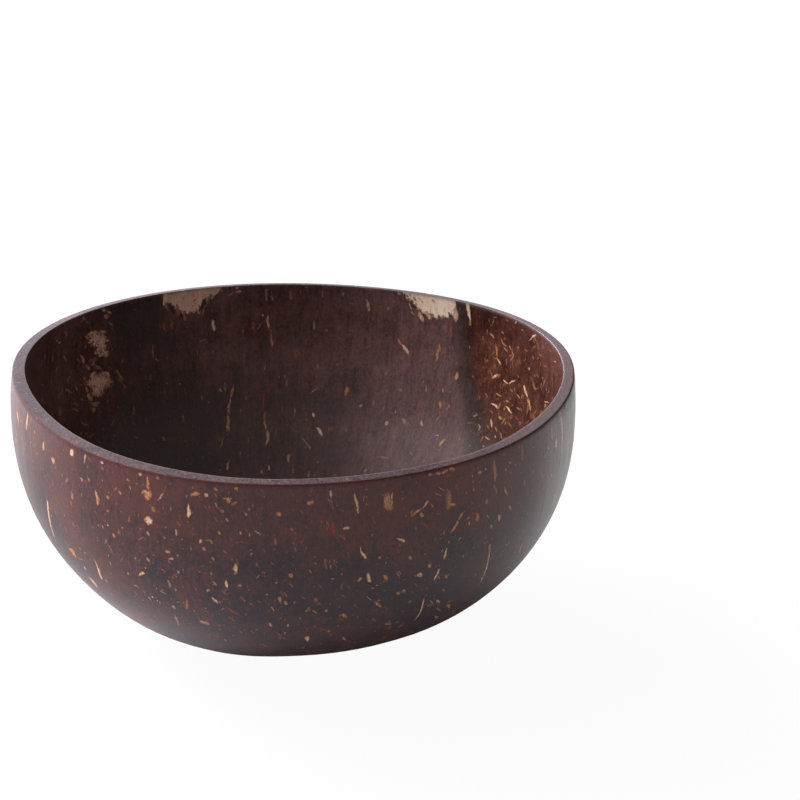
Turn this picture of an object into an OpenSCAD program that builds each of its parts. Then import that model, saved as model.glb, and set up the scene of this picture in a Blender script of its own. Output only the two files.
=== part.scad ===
// Coconut shell bowl: part of one shell, cut level at the rim and sanded flat underneath.
// Lengths are millimetres. +Z points up out of the open mouth and -Y is the front.
// The base flat lies at z = 0, and the Z axis runs up the middle of the box round the shell.
// The shell is one solid: an outside skin, a rim and a hollow, made as rings of points.

/* [Shell] */
// Width of the shell at its widest ring, twice the mean radius there
shell_width = 135; // [110:1:160]
// Height from the base flat to the top of the rim
shell_height = 61.5; // [50:0.5:76]
// How far below the rim the widest ring lies
belly_drop = 11; // [4:0.5:18]
// Fullness of the side profile, a plain number: 2 is an ellipse, more is squarer
fullness = 2.33; // [2:0.01:2.7]

/* [Wall] */
// Thickness of the wall round the sides
wall = 2.7; // [2.2:0.1:5]
// Thickness in the middle of the bottom, over the base flat
bottom_thickness = 3.4; // [2.6:0.1:8]
// How far the hollow sits to the right, which leaves the left wall thicker
hollow_shift_x = 0.2; // [0:0.1:0.8]
// How far the hollow sits to the back, which leaves the front wall thicker
hollow_shift_y = 0.1; // [0:0.1:0.8]

/* [Rim] */
// Radius of the worn edge where the rim meets the outside
rim_round = 1.2; // [0.4:0.1:1.5]
// Radius of the finer edge where the rim meets the hollow
rim_break = 0.4; // [0.2:0.1:0.8]

/* [Base flat] */
// Width of the sanded flat that the bowl stands on
base_width = 32; // [22:1:50]
// How far the flat lies to the left of the middle of the shell
base_shift_x = 9; // [0:0.5:11]
// How far the flat lies behind the middle of the shell
base_shift_y = 0.5; // [0:0.5:6]

/* [Natural shape] */
// Swell of the three ridged lobes, as a share of the radius
lobe_share = 0.025; // [0:0.001:0.04]
// Direction of the first lobe, in degrees from +X towards +Y
lobe_turn = 25; // [0:1:119]
// How far the lobes are drawn out to blunt points, as a share of the radius
point_share = 0.005; // [0:0.001:0.01]
// Fainter four-sided swell, as a share of the radius
square_share = 0.006; // [0:0.001:0.016]
// Direction of that swell's first side, in degrees from +X towards +Y
square_turn = 50; // [0:1:89]

/* [Hidden] */

// Counts of steps, which set how fine the rings are
around = 80;
outer_rows = 17;
hollow_rows = 16;
round_rows = 4;
break_rows = 2;

// How strongly the sideways shift gathers near the bottom, a plain power
gather = 10;

// The rim's two edges take no more than these parts of the wall
rim_round_limit_share = 0.5;
rim_break_limit_share = 0.25;

// Sizes worked out from the ones above
half_width = shell_width / 2;
belly_z = shell_height - belly_drop;
edge_round = min(rim_round, wall * rim_round_limit_share);
edge_break = min(rim_break, wall * rim_break_limit_share);
hollow_half = half_width - wall;
hollow_depth = belly_z - bottom_thickness;
// The whole dome would end a little below z = 0; sanding it off there leaves the base flat
base_share = base_width / shell_width;
dome_depth = belly_z / pow(1 - pow(base_share, fullness), 1 / fullness);

// Radius and height on the side profile, at angle f from the widest ring
function profile_r(f, half) = half * pow(cos(f), 2 / fullness);
function profile_z(f, depth) = belly_z + depth * sign(sin(f)) * pow(abs(sin(f)), 2 / fullness);
// The angle at which the profile reaches height z
function profile_f(z, depth) =
    let (u = (z - belly_z) / depth)
    sign(u) * asin(pow(min(abs(u), 1), fullness / 2));

// How much of the sideways shift is reached at height z
function shift_share(z, depth) = pow(max(0, (belly_z - z) / depth), gather);

// Swell of the plan in direction t
function plan_share(t) =
    1 + lobe_share * cos(3 * (t - lobe_turn)) + point_share * cos(5 * (t - lobe_turn))
    + square_share * cos(4 * (t - square_turn));

// Each row is [mean radius, height, middle x, middle y]
function outer_row(f) =
    let (z = profile_z(f, dome_depth),
         s = shift_share(z, dome_depth) / shift_share(0, dome_depth))
    [profile_r(f, half_width), z, -base_shift_x * s, base_shift_y * s];
function hollow_row(f) =
    let (z = profile_z(f, hollow_depth), s = shift_share(z, hollow_depth))
    [profile_r(f, hollow_half), z,
     hollow_shift_x - base_shift_x * s, hollow_shift_y + base_shift_y * s];

base_f = profile_f(0, dome_depth);
outer_top_f = profile_f(shell_height - edge_round, dome_depth);
hollow_top_f = profile_f(shell_height - edge_break, hollow_depth);
outer_top = outer_row(outer_top_f);
hollow_top = hollow_row(hollow_top_f);

// Rows from the base flat's edge up the outside, over the rim and down into the hollow
rows = [
    for (i = [0:outer_rows]) outer_row(base_f + (outer_top_f - base_f) * i / outer_rows),
    for (i = [1:round_rows]) let (a = 90 * i / round_rows)
        [outer_top[0] - edge_round * (1 - cos(a)),
         shell_height - edge_round * (1 - sin(a)), outer_top[2], outer_top[3]],
    for (i = [0:break_rows - 1]) let (a = 90 * i / break_rows)
        [hollow_top[0] + edge_break * (1 - sin(a)),
         shell_height - edge_break * (1 - cos(a)), hollow_top[2], hollow_top[3]],
    for (i = [0:hollow_rows - 1]) hollow_row(hollow_top_f - (90 + hollow_top_f) * i / hollow_rows)
];
last = len(rows) - 1;

ring_points = [
    for (row = rows) for (k = [0:around - 1]) let (t = 360 * k / around, r = row[0] * plan_share(t))
        [row[2] + r * cos(t), row[3] + r * sin(t), row[1]]
];
// The box's middle is carried to the Z axis
mid_x = (max([for (p = ring_points) p[0]]) + min([for (p = ring_points) p[0]])) / 2;
mid_y = (max([for (p = ring_points) p[1]]) + min([for (p = ring_points) p[1]])) / 2;

base_middle = [rows[0][2], rows[0][3], 0];
hollow_middle = hollow_row(-90);
points = concat(ring_points, [base_middle, [hollow_middle[2], hollow_middle[3], hollow_middle[1]]]);
base_point = len(ring_points);
hollow_point = base_point + 1;

function at(row, k) = row * around + k % around;
faces = [
    for (k = [0:around - 1]) [base_point, at(0, k), at(0, k + 1)],
    for (row = [0:last - 1]) for (k = [0:around - 1])
        each [[at(row, k), at(row + 1, k), at(row + 1, k + 1)],
              [at(row, k), at(row + 1, k + 1), at(row, k + 1)]],
    for (k = [0:around - 1]) [hollow_point, at(last, k + 1), at(last, k)]
];

module shell() {
    color([0.21, 0.15, 0.13])
        translate([-mid_x, -mid_y, 0])
            polyhedron(points, faces);
}

shell();
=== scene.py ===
import math

import bpy
import numpy as np
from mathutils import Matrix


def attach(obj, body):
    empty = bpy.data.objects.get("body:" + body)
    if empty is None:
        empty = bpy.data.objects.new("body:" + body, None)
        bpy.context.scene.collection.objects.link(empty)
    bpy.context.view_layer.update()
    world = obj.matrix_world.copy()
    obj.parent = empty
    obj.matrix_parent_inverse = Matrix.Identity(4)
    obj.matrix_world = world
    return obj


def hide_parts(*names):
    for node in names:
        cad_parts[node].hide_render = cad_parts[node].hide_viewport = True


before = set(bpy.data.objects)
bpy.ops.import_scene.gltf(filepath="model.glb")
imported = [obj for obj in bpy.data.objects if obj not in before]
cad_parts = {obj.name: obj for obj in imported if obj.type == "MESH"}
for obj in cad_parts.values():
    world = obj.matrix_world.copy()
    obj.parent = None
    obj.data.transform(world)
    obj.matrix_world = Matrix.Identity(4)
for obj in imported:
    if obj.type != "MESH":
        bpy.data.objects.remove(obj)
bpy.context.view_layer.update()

# Sizes of the shell in metres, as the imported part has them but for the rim's finer edges and the inset
MM = 0.001
HALF_WIDTH = 67.5 * MM
HEIGHT = 61.5 * MM
BELLY_Z = 50.5 * MM
FULLNESS = 2.33
WALL = 2.7 * MM
BOTTOM = 3.4 * MM
HOLLOW_SHIFT = np.array([0.2, 0.1]) * MM
# The cut face of the rim falls from its sharp inner edge to a worn outer corner
RIM_FALL = 0.886 * MM
RIM_WORN = 0.45 * MM
RIM_SLOPE = math.radians(12)
RIM_BREAK = 0.12 * MM
BASE_WIDTH = 32.0 * MM
BASE_SHIFT = np.array([-9.0, 0.5]) * MM
GATHER = 10
INSET = 0.13 * MM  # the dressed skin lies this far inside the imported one, so that its waves stay in the same box
DOME_DEPTH = BELLY_Z / (1 - (BASE_WIDTH / (2 * HALF_WIDTH)) ** FULLNESS) ** (1 / FULLNESS)
HOLLOW_DEPTH = BELLY_Z - BOTTOM
# Steps of the section along the flat, each side of the wall, the worn corner, the cut face and its inner edge
FLAT_STEPS, WALL_STEPS, WORN_STEPS, LEVEL_STEPS, BREAK_STEPS = 60, 900, 39, 21, 19
# The front of the rim: its direction, how far it reaches to each side and over how much of that it fades, in degrees;
# how much thinner the wall is there and how far down the hollow
FRONT_TURN, FRONT_HALF, FRONT_SOFT = -76, 45, 25
FRONT_THINNING, FRONT_DEPTH = 0.85 * MM, 14 * MM
# The skin's slow waves: how many, the shortest along the section, the height of one and the most that all may reach
WAVES, SHORTEST_WAVE, WAVE_HEIGHT, WAVE_LIMIT = 18, 34 * MM, 0.024 * MM, 0.1 * MM


def plan_swell(angle):
    """Plan of the shell as a share of its mean radius:
    1 + 0.025 cos 3(t - 25 deg) + 0.005 cos 5(t - 25 deg) + 0.006 cos 4(t - 50 deg)."""
    turn = angle - math.radians(25)
    return (1 + 0.025 * np.cos(3 * turn) + 0.005 * np.cos(5 * turn)
            + 0.006 * np.cos(4 * (angle - math.radians(50))))


def arch(steep, half, depth):
    """Radius and height at angle `steep` from the widest ring of a superellipse |r/half|^n + |z/depth|^n = 1."""
    power = 2 / FULLNESS
    return half * np.cos(steep) ** power, BELLY_Z + depth * np.sign(np.sin(steep)) * np.abs(np.sin(steep)) ** power


def steepness(z, depth):
    """Angle from the widest ring at which that superellipse reaches height z."""
    u = (z - BELLY_Z) / depth
    return np.sign(u) * np.arcsin(min(abs(u), 1) ** (FULLNESS / 2))


def section():
    """The shell's section as rows of [mean radius, height, middle x, middle y], from the middle of the base flat
    up the outside, over the rim and down to the middle of the hollow."""
    low, top = steepness(0.0, DOME_DEPTH), steepness(HEIGHT - RIM_FALL, DOME_DEPTH)
    r, z = arch(np.linspace(low, top, WALL_STEPS), HALF_WIDTH, DOME_DEPTH)
    share = np.clip((BELLY_Z - z) / DOME_DEPTH, 0, 1) ** GATHER
    share = share / share[0]
    outside = np.c_[r - INSET, z, BASE_SHIFT[0] * share, BASE_SHIFT[1] * share]
    flat = np.repeat(outside[:1], FLAT_STEPS, axis=0)
    flat[:, 0] *= np.linspace(0, 1, FLAT_STEPS, endpoint=False)
    turn = np.linspace(0, math.pi / 2 - RIM_SLOPE, WORN_STEPS + 1)[1:]
    worn = np.repeat(outside[-1:], WORN_STEPS, axis=0)
    worn[:, 0] -= RIM_WORN * (1 - np.cos(turn))
    worn[:, 1] += RIM_WORN * np.sin(turn)
    steep = np.linspace(steepness(HEIGHT - RIM_BREAK, HOLLOW_DEPTH), -math.pi / 2, WALL_STEPS)
    r, z = arch(steep, HALF_WIDTH - WALL, HOLLOW_DEPTH)
    share = np.clip((BELLY_Z - z) / HOLLOW_DEPTH, 0, 1) ** GATHER
    hollow = np.c_[r, z, HOLLOW_SHIFT[0] + BASE_SHIFT[0] * share, HOLLOW_SHIFT[1] + BASE_SHIFT[1] * share]
    hollow[-1, 0] = 0
    turn = np.radians(np.linspace(0, 90, BREAK_STEPS + 1))
    broken = np.repeat(hollow[:1], BREAK_STEPS + 1, axis=0)
    broken[:, 0] += RIM_BREAK * (1 - np.sin(turn))
    broken[:, 1] = HEIGHT - RIM_BREAK * (1 - np.cos(turn))
    level = np.linspace(worn[-1], broken[0], LEVEL_STEPS + 1)[1:-1]
    return np.concatenate([flat, outside, worn, level, broken[:-1], hollow])


SECTION = section()
# Distance along the section from the middle of the base flat, and the places where its kinds of skin meet
ALONG = np.r_[0, np.cumsum(np.hypot(*np.diff(SECTION[:, :2], axis=0).T))]
FLAT_END, OUTSIDE_END, LEVEL_START, LEVEL_END, HOLLOW_START = ALONG[np.cumsum(
    [FLAT_STEPS, WALL_STEPS - 1, WORN_STEPS, LEVEL_STEPS, BREAK_STEPS])]
TOTAL = ALONG[-1]
# Direction straight out of the skin in the section's plane, as [radial, upward]
RISE = np.gradient(SECTION[:, :2], ALONG, axis=0)[:, ::-1] * [1, -1]
RISE /= np.linalg.norm(RISE, axis=1)[:, None]


def smooth(value, low, high):
    """0 below `low`, 1 above `high` and 3 t^2 - 2 t^3 between them."""
    share = np.clip((value - low) / (high - low), 0, 1)
    return share * share * (3 - 2 * share)


def hump(value, middle, half, soft):
    """1 near `middle`, 0 farther from it than `half`, and smooth over the last `soft` of that."""
    return smooth(half - np.abs(value - middle), 0, soft)


def stretch(value, start, full, fade, end):
    """0 before `start`, 1 from `full` to `fade`, 0 after `end` and smooth between them."""
    return smooth(value, start, full) * smooth(end - value, 0, end - fade)


def signed_turn(angle):
    """Direction in degrees from -180 to 180."""
    return (np.degrees(angle) + 180) % 360 - 180


def thinned_front(angle, along):
    """How far the hollow's edge reaches outwards where the wall is thinner, at the front of the rim: growing across
    the cut face and dying out down the hollow."""
    front = hump(signed_turn(angle), FRONT_TURN, FRONT_HALF, FRONT_SOFT)
    across = np.clip((along - LEVEL_START) / (LEVEL_END - LEVEL_START), 0, 1)
    return FRONT_THINNING * front * across * (1 - smooth(along - HOLLOW_START, 0, FRONT_DEPTH))


def on_shell(angle, along, lift=0.0):
    """Points `lift` above the skin in direction `angle` (radians from +X towards +Y) at distance `along` on the
    section: the section's radius is swelled by the plan, its edge thinned at the front, and its middle carried to the
    Z axis."""
    angle, along, lift = np.broadcast_arrays(angle, along, lift)
    r, z, mx, my = (np.interp(along, ALONG, SECTION[:, k]) for k in range(4))
    out, up = (np.interp(along, ALONG, RISE[:, k]) for k in range(2))
    r = (r + out * lift) * plan_swell(angle) + thinned_front(angle, along)
    return np.stack([mx + r * np.cos(angle) - MIDDLE[0], my + r * np.sin(angle) - MIDDLE[1], z + up * lift], axis=-1)


def middle_of_plan():
    """Middle in plan of the box round the bare form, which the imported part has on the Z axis."""
    angle = np.linspace(0, 2 * math.pi, 1441)
    ring = on_shell(angle[:, None], ALONG[None, FLAT_STEPS:1000:8]).reshape(-1, 3)
    return (ring.max(0) + ring.min(0))[:2] / 2


MIDDLE = np.zeros(2)
MIDDLE = middle_of_plan()
AROUND = 360  # points of the mesh in one row


def unevenness(angle, along):
    """How far the grown, hand-sanded skin rises or falls: a sum of slow waves cos(m t + k s + phase) with whole m, so
    that it closes round the shell, fading out on the base flat, on the cut rim and towards both middles."""
    phases = np.random.default_rng(11)
    wave = np.zeros(np.broadcast(angle, along).shape)
    for _ in range(WAVES):
        count = phases.integers(2, 15)
        pitch = phases.uniform(-1, 1) * 2 * math.pi / SHORTEST_WAVE
        wave += np.cos(count * angle + pitch * along + phases.uniform(0, 2 * math.pi)) / (1 + count / 8)
    wave *= WAVE_HEIGHT
    fade = (np.clip((along - FLAT_END) / (9 * MM), 0, 1)
            * np.clip(np.maximum(OUTSIDE_END - along, along - HOLLOW_START) / (4 * MM), 0, 1)
            * np.clip((TOTAL - along) / (14 * MM), 0, 1))
    return np.clip(wave, -WAVE_LIMIT, WAVE_LIMIT) * fade


def row_places():
    """Distances along the section of the mesh's rows, close together over the rim."""
    ends = [0, FLAT_END, OUTSIDE_END, LEVEL_START, LEVEL_END, HOLLOW_START, TOTAL]
    stretches = zip(ends, ends[1:], [12, 112, 9, 9, 5, 114])
    return np.concatenate([np.linspace(low, high, count)[:-1] for low, high, count in stretches])[1:]


def grown_skin():
    """The shell's skin as one closed grid: rows of points round the shell, with one point at the middle of the flat
    and one at the middle of the hollow. Gives its points, faces, directions and distances."""
    places = row_places()
    angle = np.linspace(0, 2 * math.pi, AROUND, endpoint=False)
    turn = np.concatenate([np.tile(angle, len(places)), [0.0, 0.0]])
    along = np.concatenate([np.repeat(places, AROUND), [0.0, TOTAL]])
    points = on_shell(turn, along, unevenness(turn, along))
    rows = len(places)
    here = np.arange(AROUND)
    after = (here + 1) % AROUND
    row = np.arange(rows - 1)[:, None] * AROUND
    quads = np.stack([row + here, row + after, row + AROUND + after, row + AROUND + here], axis=-1).reshape(-1, 4)
    base, hollow, last = rows * AROUND, rows * AROUND + 1, (rows - 1) * AROUND
    fans = np.concatenate([np.stack([np.full(AROUND, base), after, here], axis=-1),
                           np.stack([np.full(AROUND, hollow), last + here, last + after], axis=-1)])
    return points, quads.tolist() + fans.tolist(), turn, along


def new_mesh(name, points, faces):
    """A smooth-shaded object at the origin from arrays of points and lists of faces."""
    mesh = bpy.data.meshes.new(name)
    mesh.from_pydata(points.tolist(), [], faces)
    mesh.update()
    mesh.polygons.foreach_set("use_smooth", np.ones(len(mesh.polygons), dtype=bool))
    made = bpy.data.objects.new(name, mesh)
    bpy.context.scene.collection.objects.link(made)
    return made
# Colours of the shell's fibres where they show in the skin
FIBRE_TONES = {
    "bone": (0.60, 0.45, 0.32), "cream": (0.60, 0.42, 0.27), "tan": (0.47, 0.275, 0.150), "amber": (0.44, 0.20, 0.080),
    "honey": (0.32, 0.165, 0.080), "russet": (0.26, 0.094, 0.045), "red": (0.22, 0.045, 0.026),
    "rose": (0.31, 0.165, 0.130), "ash": (0.20, 0.140, 0.115), "bark": (0.17, 0.085, 0.050),
    "gap": (0.022, 0.013, 0.012),
}
# The two colours that each kind of skin varies between
SKIN_TONES = {
    "outside": ((0.021, 0.0155, 0.0205), (0.104, 0.0325, 0.0278)),
    "inner_grey": ((0.032, 0.0195, 0.0190), (0.150, 0.082, 0.075)),
    "inner_red": ((0.020, 0.0065, 0.0055), (0.130, 0.0460, 0.0310)),
    # The back wall: paler and greyer, partly the wall's own tone and partly painted sheen
    "back_wall_and_sheen": ((0.085, 0.048, 0.047), (0.24, 0.142, 0.136)),
    "dark_band": ((0.024, 0.0180, 0.0180), (0.056, 0.042, 0.042)),
    "speck": ((0.15, 0.033, 0.022), (0.32, 0.155, 0.088)),
    "fine_speck": ((0.26, 0.095, 0.050), (0.012, 0.008, 0.0095)),
    "tissue": ((0.31, 0.185, 0.128), (0.80, 0.55, 0.42)),
    "bright_tissue": ((0.46, 0.30, 0.19), (0.93, 0.75, 0.575)),
    "cut_rim": ((0.022, 0.0150, 0.0160), (0.160, 0.112, 0.114)),
    # The rim's right, painted paler than the rest of the cut face
    "right_rim_painted_light": ((0.10, 0.072, 0.076), (0.29, 0.22, 0.225)),
    "pore": ((0.03, 0.016, 0.016), (0.36, 0.26, 0.22)),
    "sanded_base": ((0.050, 0.024, 0.018), (0.15, 0.078, 0.052)),
}
# Threads at the sides of the outside, partly painted sheen; thin strokes inside; a painted highlight along the rim's
# inner edge; and the stain round a fleck
THREAD_SHEEN_TONE, STROKE_TONE = (0.16, 0.125, 0.132, 1.0), (0.22, 0.085, 0.062, 1.0)
EDGE_HIGHLIGHT_TONE, STAIN = (0.20, 0.150, 0.145, 1.0), (0.66, 0.45, 0.35)

# Flecks of fibre as a maker would note them: (direction in degrees from +X towards +Y, distance below the rim,
# length, width, lean of the foot towards +direction in degrees), distances in millimetres along the skin
OUTSIDE_FLECKS = {
    "tan": [
        (-129.2, 9.2, 3.7, 0.86, 11), (-117.6, 4.5, 1.8, 0.7, -71), (-114.2, 4.5, 3.1, 0.34, -34),
        (-105.9, 15.2, 1.1, 0.56, 9), (-158.2, 2.7, 5.1, 0.86, -8), (-148.4, 4.7, 2.3, 1, 7),
        (-143.7, 6.1, 1.8, 1.1, 9), (-132.6, 1.5, 2.8, 0.51, -9), (-131.2, 5.7, 1.1, 0.56, 44),
        (-133.5, 6.6, 1.1, 0.56, 44), (-126.1, 8.1, 1.1, 0.68, 45), (-123.1, 6, 1.1, 0.56, 34),
        (-98.2, 6.2, 1, 0.43, 27), (-101.6, 7.8, 1, 0.43, 27), (-99.1, 10.7, 1, 0.43, 27), (-103, 11, 1, 0.43, 27),
        (-111.2, 12.3, 1.9, 0.42, 0), (-125, 16.9, 1.1, 0.68, 34), (-117, 13.9, 1.1, 0.56, 34),
        (-117.4, 20.5, 1.2, 0.56, 24), (-112.5, 18.9, 1.5, 0.42, -76), (-104.4, 17.4, 1.2, 0.43, 24),
        (-111.3, 22.1, 1.1, 0.5, 16), (-113.8, 33.2, 1.3, 0.68, 6), (-91.2, 28.5, 1.4, 0.59, 17),
        (-94.4, 36.1, 1.6, 0.51, 14), (-137.4, 35.7, 3.9, 1.4, 27), (-72.9, 5, 3.5, 0.26, 9),
        (-71.6, 4.7, 4, 0.34, -6), (-60.6, 0.6, 1.9, 0.51, -75), (-52.3, 3, 1.7, 0.7, 74),
        (-45.2, 4.8, 1.1, 0.43, 34), (-43.9, 3.7, 1.2, 0.43, 40), (-27.2, 13.5, 2.4, 0.51, 45),
        (-45.2, 9.9, 3.5, 0.42, 28), (-43.5, 14.6, 1.6, 0.51, 32), (-58.9, 8.3, 2.3, 0.51, 68),
        (-64.9, 7.1, 2.5, 0.51, -43), (-66.7, 8.6, 3.1, 0.51, -60), (-65.5, 9.3, 1.4, 0.68, 38),
        (-48.8, 17.3, 1.5, 0.68, 35), (-67.6, 19.3, 1.3, 0.59, 25), (-77.4, 23.1, 1.4, 0.59, -38),
        (-63.1, 22.5, 1.4, 0.59, 30), (-58.4, 35.1, 2.5, 0.59, 43), (-55.8, 42.7, 3.4, 0.51, 39),
        (-54.2, 39.1, 3.6, 0.51, 39), (-67.9, 28.3, 1.3, 0.59, 32), (-69.1, 28.7, 1.3, 0.59, 32),
        (-116.8, 4.6, 1.4, 0.78, 20), (-101.3, 3.3, 1.6, 0.7, 10), (-86.9, 3.7, 1.3, 0.43, -40),
        (-119.1, 32.4, 1.9, 0.26, 17), (-93.8, 30.3, 2.1, 0.2, 23), (-75.1, 28.9, 2.5, 0.21, 40),
        (-72.9, 31.4, 3.3, 0.24, 40), (-85.6, 31.8, 2.3, 0.23, 39), (-65.4, 42.2, 1.8, 0.43, -32),
        (-60.1, 34.9, 3.6, 0.23, 35), (-56.8, 39, 3.9, 0.21, 42), (-54.9, 36.8, 1.6, 0.49, -59),
        (-50, 14.3, 2.2, 0.24, 40),
    ],
    "amber": [
        (-107.4, 2.7, 2.3, 0.68, -78), (-101.5, 2.9, 2.4, 0.42, -87), (-99.6, 23.9, 1, 0.56, -82),
        (-92.2, 27.8, 2.6, 0.51, 9), (-165.6, 4.9, 3.5, 1.2, 44), (-114.9, 0.6, 0.9, 0.43, 90),
        (-103.6, 1.1, 1.1, 0.5, 55), (-100, 0.6, 0.9, 0.43, 90), (-92.4, 6.1, 1.4, 0.78, 39),
        (-90.2, 20.9, 1.4, 0.7, 18), (-140.8, 28.3, 3.1, 1.6, 37), (-86.7, 3.7, 1.9, 0.7, -75),
        (-63.8, 0.6, 1.5, 0.59, 86), (-62, 0.6, 1.5, 0.59, 90), (-58.9, 0.6, 1.9, 0.51, 63),
        (-22.9, 20.6, 3.5, 0.51, 52), (-63.4, 7.7, 1.6, 0.26, 33), (-56.8, 12, 2.3, 0.59, -38),
        (-58.4, 14, 3.6, 0.59, -36), (-52.9, 13.4, 2.3, 0.86, 7), (-35.6, 28.7, 4.3, 0.59, 16),
        (-72.3, 23.5, 2.1, 0.59, 32), (-58.6, 27.1, 1.7, 0.51, 33), (-79.6, 33.8, 2.1, 0.78, 38),
        (-78.4, 43.8, 2.7, 0.51, 23), (-116.8, 1.9, 3.8, 0.51, 3), (-117, 4.9, 2.4, 1.7, 60),
        (-127.6, 1.8, 1.4, 0.27, 69), (-86.7, 19.8, 1.8, 0.21, 29), (-69.8, 23.1, 2, 0.23, 33),
        (-60.7, 26.3, 2.4, 0.23, 35), (-58.4, 26.6, 1.4, 0.31, -85), (-62.1, 5.3, 2.5, 0.25, 58),
        (-61.3, 4.2, 2.4, 0.23, 56),
    ],
    "cream": [
        (-116.8, 10.7, 2, 1.6, 47), (-108.8, 6.6, 3.4, 0.59, 0), (-105.4, 2.6, 1, 0.68, -82),
        (-100.2, 19.2, 2.6, 0.68, 0), (-102.1, 23.7, 2.4, 0.51, 3), (-104.7, 28.8, 2.4, 0.51, 36),
        (-119.6, 25.1, 2.6, 0.51, -49), (-132.2, 29, 7, 0.59, 0), (-148.3, 23.5, 14, 0.59, -9),
        (-127.8, 0.6, 1.2, 0.5, 90), (-118.6, 0.6, 1, 0.5, 90), (-137.7, 31.3, 1.3, 0.68, 0),
        (-78.4, 4.4, 5.8, 0.51, 11), (-22.3, 6.2, 14, 0.68, 1), (-46.8, 15.8, 2.2, 0.59, 11),
        (-69.8, 14.5, 2.6, 0.42, 62), (-76.9, 16.1, 3.8, 0.42, 27), (-59.8, 20.4, 3.3, 0.51, -10),
        (-61, 25.7, 3.9, 0.51, -16), (-47.6, 29.3, 13, 0.42, 4), (-75.4, 22.8, 3.2, 0.68, 15),
        (-65.1, 24.6, 1.8, 0.86, 58), (-62.7, 36.6, 10.1, 0.34, 3), (-86.5, 42.8, 3.6, 0.68, 6),
    ],
    "bone": [
        (-136.8, 1.5, 1.7, 1.2, 5), (-24.8, 6.5, 2.3, 1.2, 7),
    ],
    "rose": [
        (-121.3, 2.6, 1, 0.5, 67), (-136.8, 11.5, 2.3, 0.86, 7), (-113.7, 26, 2.8, 0.59, 6),
        (-108, 37.3, 2.5, 1.1, 70), (-60.7, 15.1, 1.3, 0.5, 27), (-69.2, 39.7, 2.3, 0.86, 59),
        (-138.1, 28.4, 3.6, 0.27, -84),
    ],
    "russet": [
        (-110.8, 31.3, 4.3, 0.51, -11), (-89.5, 14.4, 1.2, 0.43, 24), (-96.3, 18.1, 1.2, 0.43, 15),
        (-90.1, 9.5, 1.2, 0.37, 24), (-100.6, 39.7, 1.8, 0.51, 8), (-88.3, 5.6, 1.2, 0.37, 24),
        (-83, 3.5, 1.2, 0.37, 24), (-60, 1.7, 1.8, 0.34, 90), (-39.8, 2.9, 4.7, 0.86, 0),
        (-84, 18.2, 3.6, 0.42, 7), (-72.6, 31.4, 4.6, 0.42, 44), (-86.7, 30.6, 1.5, 0.59, 16),
        (-85.5, 27.8, 1.4, 0.59, 23), (-84.8, 8.1, 1, 0.37, 27), (-100.3, 4, 1.9, 0.51, -60),
        (-131.1, 1.1, 1.8, 0.38, 58), (-137.1, 13.8, 1.9, 0.54, 27), (-142.3, 26.5, 2.5, 0.48, 58),
        (-124.5, 5.7, 1.9, 0.33, 36), (-123.6, 15.5, 1.8, 0.34, 23), (-126.4, 20.6, 1.8, 0.41, 32),
        (-123.8, 22.5, 2.6, 0.26, -29), (-122.4, 31.8, 1.8, 0.35, 18), (-114.4, 22.4, 1.7, 0.33, 56),
        (-112.8, 19.8, 1.3, 0.28, 42), (-105.4, 5.5, 1.9, 0.24, 27), (-103.6, 7.9, 1.7, 0.24, 31),
        (-98, 10.1, 1.8, 0.19, 44), (-96.1, 6.5, 2, 0.23, 26), (-95, 14.6, 1.6, 0.24, 33),
        (-93.4, 17.9, 1.6, 0.23, 53), (-102.6, 26.3, 2, 0.25, 39), (-99.3, 27.5, 1.7, 0.21, 34),
        (-96.2, 28.3, 1.7, 0.23, 46), (-91.9, 25.8, 2.4, 0.21, 20), (-106.8, 33, 1.6, 0.27, 42),
        (-102, 34.9, 2.1, 0.28, 50), (-98.1, 39.3, 2, 0.23, 34), (-93, 39.9, 2.3, 0.22, 33),
        (-88.3, 12.8, 1.7, 0.23, 31), (-87.9, 27.1, 1.7, 0.23, 46), (-84.8, 24.2, 2, 0.21, 29),
        (-82.2, 18.6, 1.8, 0.23, 29), (-79.3, 25.1, 1.9, 0.22, 46), (-77.7, 30.8, 2.2, 0.22, 46),
        (-71.1, 33.2, 3, 0.19, 34), (-67.8, 28.8, 2.3, 0.23, 40), (-65.5, 27.1, 2.4, 0.23, 35),
        (-63.1, 21.8, 2.3, 0.23, 33), (-71.1, 19.8, 2.3, 0.18, 38), (-80.1, 35.3, 2.2, 0.25, 41),
        (-83.6, 38.7, 2.5, 0.23, 39), (-77.1, 46.3, 2.9, 0.22, 34), (-68.8, 41.7, 1.8, 0.36, -37),
        (-83.6, 8.6, 2.1, 0.22, 24), (-80.7, 12.1, 1.8, 0.25, 19), (-75.1, 9, 1.8, 0.2, 29),
        (-70.6, 11, 1.7, 0.18, 41), (-65.1, 11.7, 2.7, 0.18, 52), (-54.3, 9.5, 1.8, 0.19, 38),
    ],
    "red": [
        (-107.7, 29.3, 0.9, 0.62, 62), (-101.1, 32, 4.9, 0.51, 49), (-64.6, 12.3, 1.4, 0.59, 23),
        (-82.5, 9.7, 4.2, 0.42, 4), (-83.7, 9.6, 1.3, 0.51, 33), (-80.6, 12, 1.6, 0.42, 26),
        (-86.5, 0.6, 0.9, 0.37, 31), (-110.4, 8.1, 1.9, 0.26, 67), (-101, 12.3, 1.9, 0.24, 36),
        (-99.8, 17.6, 2, 0.22, 20), (-82.9, 10.3, 1.7, 0.2, 31), (-78.6, 11.1, 1.8, 0.18, 47),
    ],
    "ash": [
        (-114.6, 39.1, 5.9, 0.51, -7), (-48.2, 8.4, 3, 0.59, 22), (-57.2, 38.4, 2.5, 0.51, 40),
    ],
    "honey": [
        (-72.1, 4.9, 5, 1.4, 7), (-48.6, 3.7, 6.1, 0.86, 3), (-27.1, 3.1, 3.8, 1.4, 0),
        (-29.4, 5.7, 1.9, 0.78, 41), (-59.8, 7.3, 5, 1.2, -2),
    ],
    "gap": [
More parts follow.
